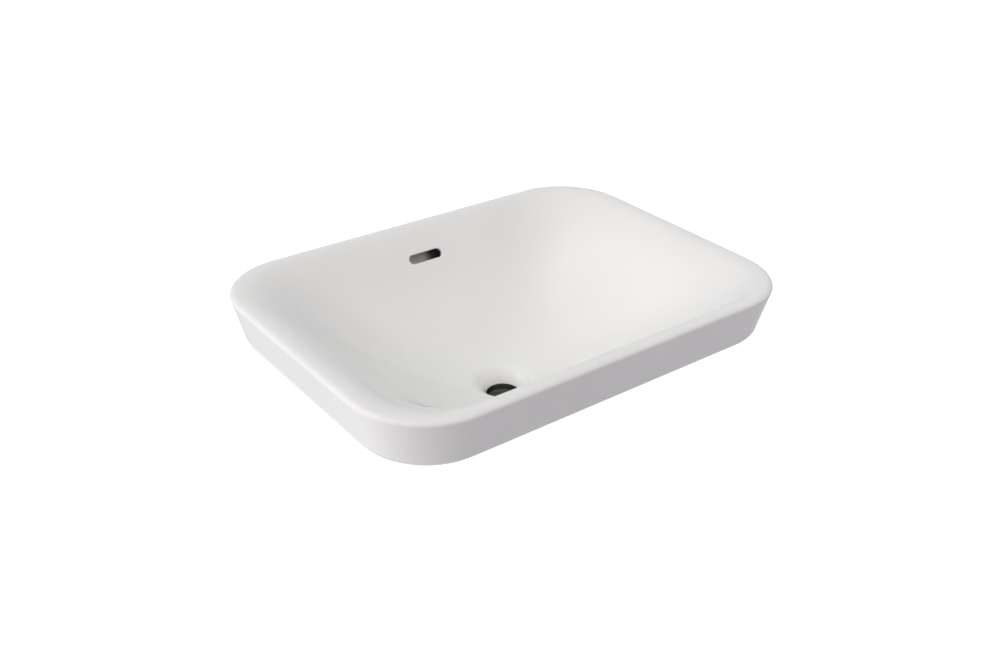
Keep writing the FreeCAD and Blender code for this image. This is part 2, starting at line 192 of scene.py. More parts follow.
def newFinish(name, group, scales):
    # a material whose group reads Object coordinates, with its shader and the group's node
    material = bpy.data.materials.new(name)
    material.use_nodes = True
    tree = material.node_tree
    shader = tree.nodes["Principled BSDF"]
    place = tree.nodes.new("ShaderNodeTexCoord")
    effect = tree.nodes.new("ShaderNodeGroup")
    effect.node_tree = group
    tree.links.new(place.outputs["Object"], effect.inputs["Vector"])
    for label, value in scales.items():
        effect.inputs[label].default_value = value
    return material, shader, effect


def mixColours(tree, factor, first, second, socket):
    ramp = tree.nodes.new("ShaderNodeValToRGB")
    ramp.color_ramp.elements[0].position = noiseLow
    ramp.color_ramp.elements[1].position = noiseHigh
    ramp.color_ramp.elements[0].color = (*first, 1)
    ramp.color_ramp.elements[1].color = (*second, 1)
    tree.links.new(factor, ramp.inputs["Fac"])
    tree.links.new(ramp.outputs["Color"], socket)


def spanValue(tree, factor, low, high, socket):
    span = tree.nodes.new("ShaderNodeMapRange")
    span.inputs["From Min"].default_value = noiseLow
    span.inputs["From Max"].default_value = noiseHigh
    span.inputs["To Min"].default_value = low
    span.inputs["To Max"].default_value = high
    tree.links.new(factor, span.inputs["Value"])
    tree.links.new(span.outputs["Result"], socket)


def addBump(tree, height, strength, distance, socket):
    bump = tree.nodes.new("ShaderNodeBump")
    bump.inputs["Strength"].default_value = strength
    bump.inputs["Distance"].default_value = distance * mm
    tree.links.new(height, bump.inputs["Height"])
    tree.links.new(bump.outputs["Normal"], socket)


def dimTowards(tree, socket, axis, start, end, share):
    # the colour falls smoothly to a share of itself between two places along an axis
    split, fall = tree.nodes.new("ShaderNodeSeparateXYZ"), tree.nodes.new("ShaderNodeMapRange")
    place = next(node for node in tree.nodes if node.type == "TEX_COORD")
    fall.interpolation_type = "SMOOTHSTEP"
    limits = {"From Min": start * mm, "From Max": end * mm, "To Min": 1.0, "To Max": share}
    for label, value in limits.items():
        fall.inputs[label].default_value = value
    dim = tree.nodes.new("ShaderNodeVectorMath")
    dim.operation = "SCALE"
    tree.links.new(place.outputs["Object"], split.inputs[0])
    tree.links.new(split.outputs[axis], fall.inputs["Value"])
    tree.links.new(socket.links[0].from_socket, dim.inputs[0])
    tree.links.new(fall.outputs["Result"], dim.inputs["Scale"])
    tree.links.new(dim.outputs[0], socket)


def paint(tree, shader, factor, look):
    # colour and roughness follow the effect, and the colour is dimmed where the look says so
    mixColours(tree, factor, look["colour"], look["colourOther"], shader.inputs["Base Color"])
    spanValue(tree, factor, *look["roughness"], shader.inputs["Roughness"])
    for place in look.get("dimmed", ()):
        dimTowards(tree, shader.inputs["Base Color"], *place)


def cloudFinish(name, look):
    material, shader, effect = newFinish(
        name, cloudAndGrain, {"Cloud Scale": look["cloudScale"], "Grain Scale": look["grainScale"]})
    tree = material.node_tree
    paint(tree, shader, effect.outputs["Cloud"], look)
    addBump(tree, effect.outputs["Grain"], look["bump"], look["bumpDepth"], shader.inputs["Normal"])
    shader.inputs["Metallic"].default_value = look.get("metallic", 0.0)
    shader.inputs["Coat Weight"].default_value = look.get("coat", 0.0)
    shader.inputs["Coat Roughness"].default_value = look.get("coatRoughness", 0.05)
    return material


def turnedFinish(name, look):
    material, shader, effect = newFinish(name, latheRings, {"Ring Scale": look["ringScale"]})
    tree = material.node_tree
    paint(tree, shader, effect.outputs["Ring"], look)
    addBump(tree, effect.outputs["Ring"], look["bump"], look["bumpDepth"], shader.inputs["Normal"])
    shader.inputs["Metallic"].default_value = 1.0
    return material


glaze = cloudFinish("whiteGlaze", dict(
    colour=(0.80, 0.80, 0.795), colourOther=(0.83, 0.83, 0.825), roughness=(0.10, 0.15),
    cloudScale=7.0, grainScale=70.0, bump=0.02, bumpDepth=0.25, coat=0.35, coatRoughness=0.04))
# overflow channel's biscuit: painted shade, a dark grey that dims to near black towards +X
channelPaintedShade = cloudFinish("channelBiscuitPaintedShade", dict(
    colour=(0.46, 0.45, 0.43), colourOther=(0.56, 0.55, 0.53), roughness=(0.75, 0.9),
    cloudScale=60.0, grainScale=1800.0, bump=0.3, bumpDepth=0.2, dimmed=[("X", 2, 18, 0.08)]))
footBiscuit = cloudFinish("footBiscuit", dict(
    colour=(0.66, 0.63, 0.58), colourOther=(0.74, 0.71, 0.66), roughness=(0.7, 0.85),
    cloudScale=60.0, grainScale=1800.0, bump=0.3, bumpDepth=0.2))
enamel = cloudFinish("whiteEnamel", dict(
    colour=(0.80, 0.80, 0.795), colourOther=(0.83, 0.83, 0.825), roughness=(0.10, 0.15),
    cloudScale=30.0, grainScale=300.0, bump=0.04, bumpDepth=0.1, coat=0.35, coatRoughness=0.04))
rubber = cloudFinish("blackRubber", dict(
    colour=(0.018, 0.018, 0.019), colourOther=(0.032, 0.032, 0.033), roughness=(0.55, 0.75),
    cloudScale=140.0, grainScale=2500.0, bump=0.25, bumpDepth=0.1))
nylon = cloudFinish("greyNylon", dict(
    colour=(0.36, 0.36, 0.37), colourOther=(0.43, 0.43, 0.44), roughness=(0.4, 0.55),
    cloudScale=90.0, grainScale=2200.0, bump=0.15, bumpDepth=0.08))
acetal = cloudFinish("whiteAcetal", dict(
    colour=(0.74, 0.74, 0.70), colourOther=(0.80, 0.80, 0.77), roughness=(0.25, 0.35),
    cloudScale=200.0, grainScale=2200.0, bump=0.1, bumpDepth=0.05))
gunmetal = turnedFinish("darkGunmetal", dict(
    colour=(0.17, 0.163, 0.155), colourOther=(0.24, 0.232, 0.22), roughness=(0.28, 0.42),
    ringScale=1100.0, bump=0.08, bumpDepth=0.05))
# painted light and shade: the throat's metal is painted bright between its lip and its tail, dimmed
# darkest at the lip as painted shade, and dimmed at the tail to about the dark gunmetal's own tone
throatPaintedLightAndShade = turnedFinish("throatGunmetalPaintedLightShade", dict(
    colour=(0.72, 0.70, 0.67), colourOther=(0.86, 0.84, 0.81), roughness=(0.28, 0.42),
    ringScale=1100.0, bump=0.08, bumpDepth=0.05,
    dimmed=[("Z", -105, -96.5, 0.075), ("Z", -112, -120, 0.22)]))
brass = turnedFinish("bareBrass", dict(
    colour=(0.66, 0.48, 0.22), colourOther=(0.75, 0.57, 0.28), roughness=(0.25, 0.4),
    ringScale=1300.0, bump=0.1, bumpDepth=0.06))
steel = turnedFinish("brightSteel", dict(
    colour=(0.52, 0.52, 0.53), colourOther=(0.62, 0.62, 0.63), roughness=(0.2, 0.32),
    ringScale=2000.0, bump=0.06, bumpDepth=0.04))
print("finishes: %d materials" % len(bpy.data.materials))


# The china: one closed surface of rounded loops, from the drain hole up the bowl, over the lip,
# down the apron, under the rim and down the outside of the bowl to the drain hole again

chinaLow, chinaHigh = nodeBox("basin")
halfLength, halfDepth, rimTop, bossBottom = chinaHigh[0], chinaHigh[1], chinaHigh[2], chinaLow[2]

china = dict(
    lipWidth=7.4, lipDrop=4.8, crestLand=2.0,            # rounded top edge
    apronDraw=10.7, endDraw=1.3,                         # drawn-in apron
    footRound=10.0, cornerRadius=87.0, footCorner=70.0,
    skirtFootInset=31.3, skirtFootCorner=69.2, skirtTopCorner=77.0, skirtTopInset=17.5,
    rimThickness=12.0,
    bowlDepth=134.0, crestCorner=82.0, landRadius=45.0,  # the bowl's law, share 0 at the crest to 1
    endPower=0.92, sidePower=1.10, cornerPower=1.19, floorPower=1.92, floorShare=0.79,
    crestEase=0.206, frontShelf=2.8, shelfShare=0.07,
    cornerMargin=1.5, wallSide=9.0, wallDown=6.5,
    holeRadius=22.5, recessRadius=32.06, funnelRadius=43.0, seatStart=0.05, seatCurve=31.8,
    coverCurve=37.3, bossRadius=36.0, bossFlare=12.0, edgeRound=2.0,
    # grid: rows of each part, columns of a quarter, and how often corners are eased
    holeRows=6, seatRows=8, funnelRows=16, bowlSteps=84, bowlCrowding=1.45,
    lipRows=12, apronSteps=18, footSteps=11, landStart=0.1, landRows=4,
    quarterColumns=88, columnCrowding=1.35, cornerEase=5, floorEase=30, easedShare=0.3, apronEase=2,
    shoulderEase=8, shoulderRows=28, shoulderSpread=5.0)
crestInset = china["lipWidth"] + china["crestLand"]
footInset = china["apronDraw"] + china["footRound"]
landZ = rimTop - china["bowlDepth"]
dishR = china["holeRadius"] + china["seatCurve"]
dishZ = landZ - math.sqrt(china["coverCurve"] ** 2 - (dishR - china["funnelRadius"]) ** 2)


def bowlRows(share, sideways=0.0, down=0.0):
    # half length, half depth, corner, height and shift: each size falls from the crest as a power
    # of the share, the depth is (1 - (1 - s t)^p), eased in from the level crest by 1 - exp(-t / e),
    # and the front side stands in by a shelf that grows and fades as t exp(-t)
    c = china
    wholeFall = 1 - (1 - c["floorShare"]) ** c["floorPower"]
    fall = (1 - (1 - c["floorShare"] * share) ** c["floorPower"]) / wholeFall
    ease = (1 - np.exp(-share / c["crestEase"])) / (1 - math.exp(-1 / c["crestEase"]))
    startX, startY = halfLength - crestInset, halfDepth - crestInset
    reachX = startX - (startX - c["landRadius"]) * share ** c["endPower"]
    reachY = startY - (startY - c["landRadius"]) * share ** c["sidePower"]
    corner = c["crestCorner"] - (c["crestCorner"] - c["landRadius"]) * share ** c["cornerPower"]
    corner = np.minimum(corner, np.minimum(reachX, reachY) - c["cornerMargin"])
    height = rimTop - c["bowlDepth"] * fall * ease
    shelf = c["frontShelf"] * share / c["shelfShare"] * np.exp(1 - share / c["shelfShare"])
    return np.stack([reachX + sideways, reachY - shelf / 2 + sideways, corner + sideways,
                     height - down, shelf / 2])


def apronRows(inset, height):
    # below the lip the ends are drawn in a little more than the sides
    c = china
    corner = c["cornerRadius"] - inset * (c["cornerRadius"] - c["footCorner"]) / footInset
    draw = c["endDraw"] * np.clip(1 - height / (rimTop - c["lipDrop"]), 0, 1)
    return np.stack([halfLength - inset - draw, halfDepth - inset, corner, height, 0 * height])


def skirtRows(height, outward=0.0):
    # the skirt's inner wall, straight from its foot to the underside of the rim
    c = china
    up = height / (rimTop - c["rimThickness"])
    inset = c["skirtFootInset"] + (c["skirtTopInset"] - c["skirtFootInset"]) * up - outward
    corner = c["skirtFootCorner"] + (c["skirtTopCorner"] - c["skirtFootCorner"]) * up + outward
    return np.stack([halfLength - inset, halfDepth - inset, corner, height, 0 * height])


def roundRows(radius, height):
    return np.stack([radius, radius, radius, height, 0 * height])


def dishRows(curve, startRadius, endRadius, count):
    # arc of the drain's dish between two radii
    angle = np.arccos((dishR - np.linspace(startRadius, endRadius, count)) / curve)
    return roundRows(dishR - curve * np.cos(angle), dishZ + curve * np.sin(angle))


def steady(rows, columns):
    # rows that are the same for every column
    return np.repeat(rows[:, :, None], columns, axis=2)


def quarterRound(halfX, halfY, corner, q):
    # a quarter of a rounded rectangle by length: along the back, round the corner, down the end
    straight, arc = halfX - corner, corner * quarterTurn
    d = q * (straight + arc + halfY - corner)
    turn = np.clip((d - straight) / corner, 0, quarterTurn)
    x = np.minimum(d, straight) + corner * np.sin(turn)
    y = halfY - corner + corner * np.cos(turn) - np.maximum(d - straight - arc, 0)
    return x, y


def roundedLoops(rows, quarterColumns, crowding):
    # rows of (half x, half y, corner, height, shift) per column; a loop starts at the back, clockwise
    k = np.arange(quarterColumns) / quarterColumns
    q = np.concatenate([k ** crowding, (1 - k) ** crowding] * 2)
    signX = np.repeat([1, 1, -1, -1], quarterColumns)
    signY = np.repeat([1, -1, -1, 1], quarterColumns)
    x, y = quarterRound(rows[0], rows[1], rows[2], q)
    return np.stack([x * signX, y * signY + rows[4], rows[3]], axis=-1)


def eased(values, passes, axis):
    # each value moves to the mean of itself and its neighbours, weighted 1 2 1
    for _ in range(passes):
        values = (np.roll(values, 1, axis) + 2 * values + np.roll(values, -1, axis)) / 4
    return values


columns = 4 * china["quarterColumns"]
bowlShares = np.linspace(1, 0, china["bowlSteps"]) ** china["bowlCrowding"]
rimLoop = roundedLoops(steady(apronRows(np.array([crestInset]), np.array([rimTop])), columns),
                       china["quarterColumns"], china["columnCrowding"])[0]
rimStep = np.roll(rimLoop, -1, axis=0) - np.roll(rimLoop, 1, axis=0)
# which way each column faces: 0 along the sides, 1 at the ends
facingEnd = rimStep[:, 1] ** 2 / (rimStep[:, 0] ** 2 + rimStep[:, 1] ** 2)


def insideRows():
    # drain hole, seat, recess, funnel and bowl, from the hole's foot to the crest
    c = china
    holeZ = np.linspace(bossBottom + c["edgeRound"], dishZ, c["holeRows"])
    hole = roundRows(np.full(c["holeRows"], c["holeRadius"]), holeZ)
    seatRadius = c["holeRadius"] + c["seatStart"]
    seat = dishRows(c["seatCurve"], seatRadius, c["recessRadius"], c["seatRows"])
    funnel = dishRows(c["coverCurve"], c["recessRadius"], c["funnelRadius"], c["funnelRows"])
    return np.hstack([hole, seat, funnel]), bowlRows(bowlShares)


def outsideRows():
    # lip: quarter ellipse; apron: straight; foot: quarter circle; then the flat foot
    c = china
    turn = np.linspace(0, quarterTurn, c["lipRows"])
    lip = apronRows(c["lipWidth"] * (1 - np.sin(turn)), rimTop - c["lipDrop"] * (1 - np.cos(turn)))
    s = np.linspace(0, 1, c["apronSteps"])[1:]
    apronTop = rimTop - c["lipDrop"]
    apron = apronRows(c["apronDraw"] * s, apronTop + (c["footRound"] - apronTop) * s)
    turn = np.linspace(0, quarterTurn, c["footSteps"])[1:]
    foot = apronRows(footInset - c["footRound"] * np.cos(turn), c["footRound"] * (1 - np.sin(turn)))
    start, end = apronRows(np.array([footInset]), np.zeros(1)), skirtRows(np.zeros(1), c["edgeRound"])
    land = start + (end - start) * np.linspace(c["landStart"], 1, c["landRows"])
    return np.hstack([lip, apron, foot, land])


underside = dict(searchFrom=0.05, searchTo=0.5, searchSteps=400, wallRows=10, wallEnds=1.2,
                 crowding=1.1, bowlStart=0.012, bowlRows=40, coneStart=0.04, coneRows=14,
                 edgeSteps=5, endRows=4, endOuter=4.0, endInner=1.0)


def undersideRows():
    # skirt's inner wall up to the groove's roof, then the bowl's underside down to the boss and its
    # end; the roof stands higher at the ends than along the sides, by the way each column faces
    c, u = china, underside
    fine = np.linspace(u["searchFrom"], u["searchTo"], u["searchSteps"])
    under = bowlRows(fine, c["wallSide"], c["wallDown"])
    sideGap = skirtRows(under[3])[1] - under[1] - under[4]
    sideShare = fine[np.argmax(sideGap > c["edgeRound"])]
    endShare = fine[np.argmax(under[3] < rimTop - c["rimThickness"])]
    startShare = sideShare + (endShare - sideShare) * facingEnd
    roof = bowlRows(startShare, c["wallSide"], c["wallDown"])[3]
    climb = (np.linspace(0, 1, u["wallRows"]) ** u["crowding"])[:, None]
    wallZ = u["wallEnds"] + (roof - 2 * u["wallEnds"]) * climb
    wall = skirtRows(wallZ)
    along = np.linspace(u["bowlStart"], 1, u["bowlRows"])[:, None] ** u["crowding"]
    shares = startShare + (1 - startShare) * along
    bowl = bowlRows(shares, c["wallSide"], c["wallDown"])
    bossTop = landZ - c["wallDown"]
    s = np.linspace(u["coneStart"], 1, u["coneRows"])
    coneZ = bossTop + (bossBottom + c["edgeRound"] - bossTop) * s
    cone = roundRows(c["bossRadius"] + c["bossFlare"] * (1 - s), coneZ)
    turn = np.linspace(0, quarterTurn, u["edgeSteps"])[1:]
    edge = roundRows(c["bossRadius"] - c["edgeRound"] * (1 - np.cos(turn)),
                     bossBottom + c["edgeRound"] * (1 - np.sin(turn)))
    outer, inner = c["bossRadius"] - u["endOuter"], c["holeRadius"] + u["endInner"]
    end = roundRows(np.linspace(outer, inner, u["endRows"]), np.full(u["endRows"], bossBottom))
    return np.concatenate([wall, bowl, steady(np.hstack([cone, edge, end]), columns)], axis=1)


# The overflow: its slot in the back wall, and the duct that swells the underside

overflow = dict(
    drop=33.0, length=48.5, height=12.0, lip=0.9, wall=7.5, gap=7.0, skin=5.0, sideRoom=2.0,
    pocketDown=44.0, pocketUp=11.0, pocketCorner=5.0, pocketSoft=0.6, pocketStep=7.0,
    portWidth=34.0, ductSlope=6.0, ductAbove=14.0, ductEndShare=0.7, ductSteps=60,
    ductFoot=((12.0, 14.0), (1.0, 6.0)), ductEnd=4.0,    # (past the boss, above its end)
    windowColumns=17, windowRows=11, blendRings=8, lipRings=6, wallRings=4, paintedShadeRings=8,
    fineStart=0.001, fineSteps=4000)
fineShare = np.linspace(overflow["fineStart"], 1, overflow["fineSteps"])
fineWall = bowlRows(fineShare)
fineY, fineZ = fineWall[1] + fineWall[4], fineWall[3]
slotShare = np.interp(overflow["drop"], rimTop - fineZ, fineShare)
fineLength = np.concatenate([[0], np.cumsum(np.hypot(np.diff(fineY), np.diff(fineZ)))])
# length down the wall is measured from the slot's middle
fineLength -= np.interp(slotShare, fineShare, fineLength)


def backWall(x, length, offset):
    # point on the back wall's middle strip, a length below the slot's middle, moved along the normal
    y, z = np.interp(length, fineLength, fineY), np.interp(length, fineLength, fineZ)
    step = 0.5
    alongY = np.interp(length + step, fineLength, fineY) - np.interp(length - step, fineLength, fineY)
    alongZ = np.interp(length + step, fineLength, fineZ) - np.interp(length - step, fineLength, fineZ)
    size = np.hypot(alongY, alongZ)
    return np.stack([x, y - offset * alongZ / size, z + offset * alongY / size], axis=-1)


def ductHeight(y):
    # height of the duct's outside at a distance behind the drain: the wall moved out, then drawn
    # into the boss
    o = overflow
    end = np.interp(o["ductEndShare"], fineShare, fineLength)
    length = np.linspace(-o["ductAbove"], end, o["ductSteps"])
    line = backWall(0 * length, length, o["wall"] + o["gap"] + o["skin"])
    foot = [[0, china["bossRadius"] + out, bossBottom + up] for out, up in o["ductFoot"]]
    line = np.vstack([line, foot, [[0, 0, bossBottom + o["ductEnd"]]]])[::-1]
    return np.interp(y, line[:, 1], line[:, 2])


def swellDuct(points):
    # underside points on the duct's strip come down to it; its sides slope over a few millimetres
    x, y, z = points[..., 0], points[..., 1], points[..., 2]
    backHalf = overflow["length"] / 2 + overflow["sideRoom"] + overflow["skin"]
    drainHalf = overflow["portWidth"] / 2 + overflow["skin"]
    half = drainHalf + (backHalf - drainHalf) * np.clip(y / halfDepth, 0, 1)
    inside = np.clip((half - np.abs(x)) / overflow["ductSlope"], 0, 1) * (y > 0)
    share = inside * inside * (3 - 2 * inside)
    points[..., 2] = z - share * np.maximum(z - ductHeight(y), 0)


def slotPatch(points, firstBowlRow):
    # rings from a window in the wall's grid to the slot's outline, over its rounded lip, through the
    # wall and out into the channel behind; each ring is (x, length down the wall, offset out of it)
    o = overflow
    nearRow = firstBowlRow + int(np.argmin(np.abs(bowlShares - slotShare)))
    top, bottom = nearRow + o["windowRows"], nearRow - o["windowRows"]
    n = o["windowColumns"]
    right = [(top, j) for j in range(0, n)] + [(i, n) for i in range(top, bottom, -1)]
    under = [(bottom, j) for j in range(n, -n, -1)] + [(i, -n) for i in range(bottom, top)]
    ring = right + under + [(top, j) for j in range(-n, 0)]
    rowOf, columnOf = np.array(ring).T
    window = rowOf * columns + columnOf % columns
    windowX = points[window, 0]
    windowS = np.interp(bowlShares[rowOf - firstBowlRow], fineShare, fineLength)
    quarter = len(ring) // 4
    k = np.arange(quarter) / quarter

    def outline(halfX, halfS, corner, middle=0.0):
        ahead, back = quarterRound(halfX, halfS, corner, k), quarterRound(halfX, halfS, corner, 1 - k)
        x = np.concatenate([ahead[0], back[0], -ahead[0], -back[0]])
        s = np.concatenate([-ahead[1], back[1], ahead[1], -back[1]])
        return x, s + middle

    half, radius, lip = o["length"] / 2, o["height"] / 2, o["lip"]
    lipX, lipS = outline(half + lip, radius + lip, radius + lip)
    rings = []
    for w in np.linspace(0, 1, o["blendRings"])[1:]:
        rings.append((windowX + (lipX - windowX) * w, windowS + (lipS - windowS) * w, 0.0))
    for turn in np.linspace(0, quarterTurn, o["lipRings"])[1:]:
        grow = lip * (1 - math.sin(turn))
        depth = lip * (1 - math.cos(turn))
        rings.append((*outline(half + grow, radius + grow, radius + grow), depth))
    for depth in np.linspace(lip, o["wall"], o["wallRings"])[1:]:
        rings.append((*outline(half, radius, radius), depth))
    pocketHalf = (o["pocketDown"] + o["pocketUp"]) / 2
    middle = (o["pocketDown"] - o["pocketUp"]) / 2
    soft, gap = o["pocketSoft"], o["gap"]
    pocket = [(0, soft / 2), (0, gap - soft), (soft, gap)]
    pocket += [(step * o["pocketStep"], gap) for step in (1, 2, 3)]
    for shrink, depth in pocket:
        halfX = half + o["sideRoom"] - shrink
        corner = min(o["pocketCorner"], halfX)
        rings.append((*outline(halfX, pocketHalf - shrink, corner, middle), o["wall"] + depth))
    patch = np.concatenate([backWall(x, s, depth) for x, s, depth in rings])
    numbers = len(points) + np.arange(len(patch)).reshape(len(rings), -1)
    numbers = np.vstack([window, numbers])
    ahead = np.roll(numbers, -1, axis=1)
    quads = np.stack([numbers[:-1], ahead[:-1], ahead[1:], numbers[1:]], axis=-1)
    # the last rings are the channel behind the glazed wall, in the biscuit with painted shade
    glazed = (len(rings) - o["paintedShadeRings"]) * len(ring)
    faces = quads.reshape(-1, 4).tolist() + [numbers[-1].tolist()]
    paintedShadeFaces = [False] * glazed + [True] * (len(faces) - glazed)
    hole = np.zeros((len(points) // columns, columns), bool)
    hole[bottom:top, np.arange(-n, n) % columns] = True
    return patch, faces, paintedShadeFaces, hole


def makeChina():
    c = china
    drain, bowl = insideRows()
    inside = np.hstack([drain, bowl, outsideRows()])
    under = undersideRows()
    rows = np.concatenate([steady(inside, columns), under], axis=1)
    # the front shelf fades round the corners, until the ends have none of it
    spare = rows[4, :inside.shape[1]] * (1 - (1 - facingEnd) ** 2)
    rows[1, :inside.shape[1]] += spare
    rows[4, :inside.shape[1]] -= spare
    loops = roundedLoops(rows, c["quarterColumns"], c["columnCrowding"])
    # straights ease into corners along each loop, more so lower in the bowl, and the funnel's
    # shoulder is rounded from row to row
    crestRow = drain.shape[1] + bowl.shape[1]
    loops[:crestRow] = eased(loops[:crestRow], c["cornerEase"], 1)
    deep = np.clip(bowlShares / c["easedShare"], 0, 1)[:, None, None]
    wall = loops[drain.shape[1]:crestRow]
    wall += deep * (eased(wall, c["floorEase"], 1) - wall)
    loops[crestRow:inside.shape[1]] = eased(loops[crestRow:inside.shape[1]], c["apronEase"], 1)
    shoulder = loops[drain.shape[1] - c["funnelRows"]:drain.shape[1] + c["shoulderRows"]]
    away = (np.arange(len(shoulder)) - c["funnelRows"]) / c["shoulderSpread"]
    weight = np.exp(-away ** 2)[:, None, None]
    shoulder += weight * (eased(shoulder, c["shoulderEase"], 0) - shoulder)
    swellDuct(loops[inside.shape[1]:])
    points = loops.reshape(-1, 3)
    patch, patchFaces, paintedShadeFaces, hole = slotPatch(points, drain.shape[1])
    quads = gridFaces(len(loops), columns, True)
    footRows = np.zeros(len(loops), bool)
    footRows[inside.shape[1] - c["landRows"] - 1:inside.shape[1]] = True
    kept = ~hole
    # numbers of the piece's materials: 0 glaze, 1 biscuit of the channel with painted shade, 2
    # biscuit of the foot
    finish = np.where(footRows[:, None] & kept, 2, 0)[kept].tolist()
    finish += [int(bare) for bare in paintedShadeFaces]
    shell = (np.vstack([points, patch]), quads[kept].tolist() + patchFaces)
    piece = makePiece("basin_china", "root", "basin", [shell], glaze)
    piece.data.materials.append(channelPaintedShade)
    piece.data.materials.append(footBiscuit)
    piece.data.polygons.foreach_set("material_index", finish)
    return piece


basin = makeChina()
print("china: %d faces" % len(basin.data.polygons))


# The waste: turned pieces take their outlines from the CAD boxes, so they follow its sizes

def low(node):
    return nodeBox(node)[0][2]


def high(node):
    return nodeBox(node)[1][2]


def outerRadius(node):
    return nodeBox(node)[1][0]


def extent(node):
    return low(node), high(node), outerRadius(node)


def dishArc(curve, startRadius, endRadius, count):
    rows = dishRows(curve, startRadius, endRadius, count)
    return np.stack([rows[0], rows[3]], axis=1)


def makeTurned(node, body, outline, material, soft=0.3, columns=96):
    shell = turnedShell(softCorners(outline, soft), columns)
    makePiece(node + "_turned", body, node, [shell], material, sharpAngle=40)


# curves of the dished pieces about the funnel's circle, their inner edges, and steps along each
dishes = dict(coverTop=37.3, coverUnder=35.9, coverEdge=20.7, coverSteps=16,
              gasketTop=33.25, gasketUnder=31.9, gasketInner=25.5, gasketSteps=10,
              flangeTop=35.8, flangeUnder=33.35)


def makeDishes():
    # cover and gasket: the space between two arcs about the dish's circle, cut off at the flange
    d, edge = dishes, outerRadius("flange_cover")

    def between(top, under, inner, steps):
        innerUnder = dishR - under * (dishR - inner) / top
        return np.vstack([dishArc(top, inner, edge, steps), dishArc(under, edge, innerUnder, steps)])

    cover = between(d["coverTop"], d["coverUnder"], d["coverEdge"], d["coverSteps"])
    makeTurned("flange_cover", "root", cover, enamel, soft=0.25, columns=128)
    gasket = between(d["gasketTop"], d["gasketUnder"], d["gasketInner"], d["gasketSteps"])
    makeTurned("flange_gasket", "root", gasket, rubber, soft=0.3)


waste = dict(
    throatRadius=18.5, hair=0.02, columns=144, flangeSteps=18, underSteps=14, flangeSoft=0.3,
    rimLow=2.6, rimHigh=2.9, rimSoft=0.1,                   # flange's edge, above its underside
    threadRadius=20.95, threadPitch=2.309, threadDepth=1.15, threadTurnRows=12, threadFade=0.8,
    threadSlope=2.6, threadCrest=0.15, threadTop=-140.75, endChamfer=1.2, footSoft=0.4,
    reliefTop=-139.55, reliefDepth=0.8, reliefSoft=0.1,     # groove over the thread
    ledgeRadius=15.0, ledgeTop=-107.05, ledgeHeight=3.0, ledgeSoft=0.5, ledgeUnderSoft=0.3,
    portTop=-111.55, portBottom=-120.55, portCount=4, portRows=9, portColumns=8,
    bridgeBottom=-148.05, bridgeTop=-144.55, hubRadius=8.0, hubSoft=0.4, hubColumns=72,
    screwRadius=2.05, spokeWidth=4.0, spokeCount=3, spokeSoft=0.5, spokeSteps=3,
    spokeInHub=1.0, spokeInWall=0.8)


def wasteRows():
    # closed outline (radius, height) and its share of thread, from the flange's edge down the inside
    # and up the outside
    w = waste
    edge, bottom = outerRadius("waste_body"), low("waste_body")
    top = dishArc(dishes["flangeTop"], edge - w["flangeSoft"], w["throatRadius"] + w["hair"],
                  w["flangeSteps"])
    ledgeR, ledgeTop, ledgeUnder = w["ledgeRadius"], w["ledgeTop"], w["ledgeTop"] - w["ledgeHeight"]
    ledge = [(ledgeR + w["ledgeSoft"], ledgeTop), (ledgeR, ledgeTop - w["ledgeSoft"]),
             (ledgeR, ledgeUnder + w["ledgeUnderSoft"]), (ledgeR + w["ledgeUnderSoft"], ledgeUnder),
             (w["throatRadius"], ledgeUnder)]
    port = np.linspace(w["portTop"], w["portBottom"], w["portRows"])
    inside = np.stack([np.full(len(port), w["throatRadius"]), port], axis=1)
    foot = [(w["throatRadius"], bottom + w["footSoft"]), (w["throatRadius"] + w["footSoft"], bottom),
            (w["threadRadius"] - w["endChamfer"], bottom)]
    threadBottom = bottom + w["endChamfer"]
    count = int((w["threadTop"] - threadBottom) / w["threadPitch"] * w["threadTurnRows"])
    threadZ = np.linspace(threadBottom, w["threadTop"], count)
    thread = np.stack([np.full(count, w["threadRadius"]), threadZ], axis=1)
    reliefR = w["threadRadius"] - w["reliefDepth"]
    relief = [(reliefR, w["threadTop"] + w["reliefSoft"]),
              (reliefR, w["reliefTop"] - w["reliefSoft"]), (w["threadRadius"], w["reliefTop"])]
    outside = np.stack([np.full(len(port), w["threadRadius"]), port[::-1]], axis=1)
    under = dishArc(dishes["flangeUnder"], w["threadRadius"] + w["hair"], edge, w["underSteps"])
    rim = [(edge, under[-1, 1] + w["rimLow"]), (edge - w["rimSoft"], under[-1, 1] + w["rimHigh"])]
    parts = [top, ledge, inside, foot, thread, relief, outside, under, rim]
    starts = np.cumsum([0] + [len(part) for part in parts])
    fromEnd = np.minimum(threadZ - threadBottom, w["threadTop"] - threadZ)
    share = np.zeros(starts[-1])
    share[starts[4]:starts[5]] = np.clip(fromEnd / w["threadFade"], 0, 1)
    return np.vstack(parts), share, starts[2], starts[6]


def barShell(width, bottom, top, startRadius, endRadius, angle):
    # bar of rounded section along a radius: the section at both ends, joined and capped
    half = width / 2
    section = softCorners([(-half, bottom), (half, bottom), (half, top), (-half, top)],
                          waste["spokeSoft"], waste["spokeSteps"])
    count = len(section)
    along = np.array([math.sin(angle), math.cos(angle)])
    side = np.array([math.cos(angle), -math.sin(angle)])
    rings = [np.column_stack([along * r + section[:, :1] * side, section[:, 1]])
             for r in (startRadius, endRadius)]
    faces = gridFaces(2, count).reshape(-1, 4).tolist()
    return np.vstack(rings), faces + [list(range(count)), list(range(count, 2 * count))]


